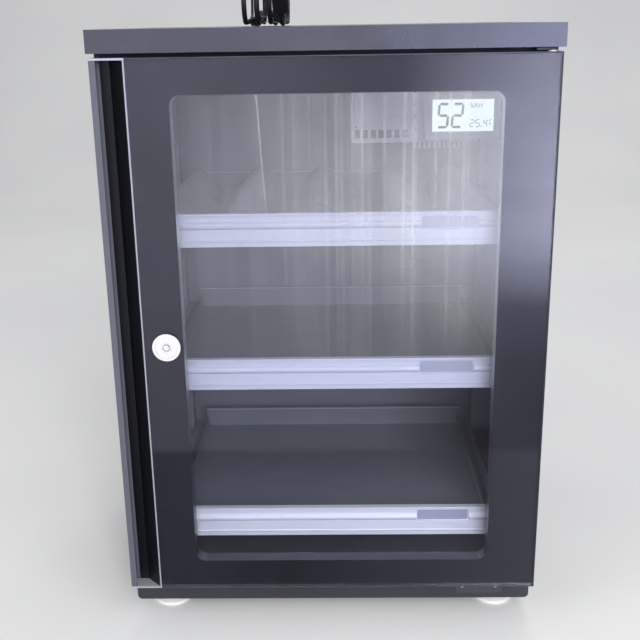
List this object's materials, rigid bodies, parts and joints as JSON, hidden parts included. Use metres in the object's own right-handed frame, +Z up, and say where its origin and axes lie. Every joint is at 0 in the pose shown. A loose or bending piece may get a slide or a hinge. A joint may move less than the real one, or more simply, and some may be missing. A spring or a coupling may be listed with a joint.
{
  "type": "camera dry cabinet",
  "caption": "Upright dry storage cabinet for cameras and lenses: glass door with a handle channel and lock, slide-out trays, wavy lens mat, dryer unit, hygrometer, levelling feet.",
  "frame": {"origin": "on the floor, under the middle of the cabinet's width and depth, cord left out", "axes": "+Z up, +Y from the door to the back, +X to the hinge side of the door"},
  "size_m": [0.434, 0.397, 0.6752],
  "materials": {
    "body_paint": "satin dark grey powder coat",
    "lid_paint": "fine satin grey powder coat",
    "zinc_steel": "zinc plated",
    "plated_steel": "bright plated",
    "white_plastic": "smooth white",
    "tray_paint": "satin grey",
    "tray_aluminium": "anodised, fine lengthwise grain",
    "unit_plastic": "fine moulded grain",
    "heater_metal": "plain",
    "display": "clear pane over a pale display",
    "door_metal": "satin",
    "handle_paint": "satin dark",
    "clear_glass": "clear, polished",
    "printed_border": "dark print seen through the glass",
    "seal_rubber": "soft magnetic gasket",
    "cord_rubber": "satin cord jacket",
    "blade_brass": "nickel plated",
    "foam": "dark grey foam with a short nap"
  },
  "bodies": {
    "cabinet": {"front_frame": "body_paint", "body_wrap": "body_paint", "back_panel": "body_paint", "upper_back_panel": "body_paint", "floor_panel": "body_paint", "ceiling_panel": "body_paint", "top_cap": "lid_paint", "upper_hinge_bracket": "zinc_steel", "lower_hinge_bracket": "zinc_steel", "hinge_pins": "plated_steel", "hinge_washers": "white_plastic", "hinge_screws": "plated_steel", "foot_nuts": "plated_steel", "rear_feet": "white_plastic", "left_standards": "tray_paint", "right_standards": "tray_paint", "upper_rails": "zinc_steel", "middle_rails": "zinc_steel", "lower_rails": "zinc_steel", "duct_cover": "tray_paint", "dryer_housing": "unit_plastic", "desiccant_pack": "white_plastic", "heater_plate": "heater_metal", "rear_vent_cover": "unit_plastic", "cord_gland": "seal_rubber", "meter_case": "unit_plastic", "meter_display": "display", "meter_holder": "unit_plastic", "power_cord": "cord_rubber", "cord_hank": "cord_rubber", "cord_tie": "white_plastic", "plug_body": "cord_rubber", "plug_blades": "blade_brass"},
    "shutter": {"dryer_shutter": "white_plastic"},
    "door": {"door_frame": "door_metal", "handle_rail": "handle_paint", "handle_end_caps": "door_metal", "door_glass": "clear_glass", "glass_border": "printed_border", "window_trim": "door_metal", "door_seal": "seal_rubber", "hinge_bushes": "white_plastic", "lock_barrel": "plated_steel", "lock_nut": "plated_steel"},
    "lock": {"lock_plug": "plated_steel", "lock_cam": "zinc_steel"},
    "upper_tray": {"upper_tray_pan": "tray_paint", "upper_tray_front": "tray_aluminium", "lens_mat": "foam"},
    "middle_tray": {"middle_tray_pan": "tray_paint", "middle_tray_front": "tray_aluminium"},
    "lower_tray": {"lower_tray_pan": "tray_paint", "lower_tray_front": "tray_aluminium"},
    "left_foot": {"left_foot_pad": "white_plastic"},
    "left_stem": {"left_foot_stem": "plated_steel"},
    "right_foot": {"right_foot_pad": "white_plastic"},
    "right_stem": {"right_foot_stem": "plated_steel"}
  },
  "joints": [
    {"name": "door_hinge", "type": "hinge", "parent": "cabinet", "child": "door", "pos_m": [0.2065, -0.1865, 0.32], "axis": [0, 0, 1], "range_deg": [0, 160]},
    {"name": "lock_turn", "type": "hinge", "parent": "door", "child": "lock", "pos_m": [-0.1605, -0.185, 0.318], "axis": [0, 1, 0], "range_deg": [0, 90]},
    {"name": "shutter_slide", "type": "slide", "parent": "cabinet", "child": "shutter", "axis": [0, 0, -1], "range_m": [0, 0.011]},
    {"name": "upper_tray_slide", "type": "slide", "parent": "cabinet", "child": "upper_tray", "axis": [0, -1, 0], "range_m": [0, 0.146]},
    {"name": "middle_tray_slide", "type": "slide", "parent": "cabinet", "child": "middle_tray", "axis": [0, -1, 0], "range_m": [0, 0.146]},
    {"name": "lower_tray_slide", "type": "slide", "parent": "cabinet", "child": "lower_tray", "axis": [0, -1, 0], "range_m": [0, 0.146]},
    {"name": "left_foot_slide", "type": "slide", "parent": "cabinet", "child": "left_foot", "axis": [0, 0, 1], "range_m": [-0.008, 0]},
    {"name": "left_stem_spin", "type": "hinge", "parent": "left_foot", "child": "left_stem", "pos_m": [-0.181, -0.1395, 0.02], "axis": [0, 0, 1], "range_deg": [-2305, 0]},
    {"name": "right_foot_slide", "type": "slide", "parent": "cabinet", "child": "right_foot", "axis": [0, 0, 1], "range_m": [-0.008, 0]},
    {"name": "right_stem_spin", "type": "hinge", "parent": "right_foot", "child": "right_stem", "pos_m": [0.181, -0.1395, 0.02], "axis": [0, 0, 1], "range_deg": [-2305, 0]}
  ],
  "couplings": [
    {"joint": "upper_tray_slide", "follows": "door_hinge", "m_per_rad": 0.052},
    {"joint": "middle_tray_slide", "follows": "door_hinge", "m_per_rad": 0.052},
    {"joint": "lower_tray_slide", "follows": "door_hinge", "m_per_rad": 0.052},
    {"joint": "left_stem_spin", "follows": "left_foot_slide", "rad_per_m": 5026.6},
    {"joint": "right_stem_spin", "follows": "right_foot_slide", "rad_per_m": 5026.6}
  ]
}
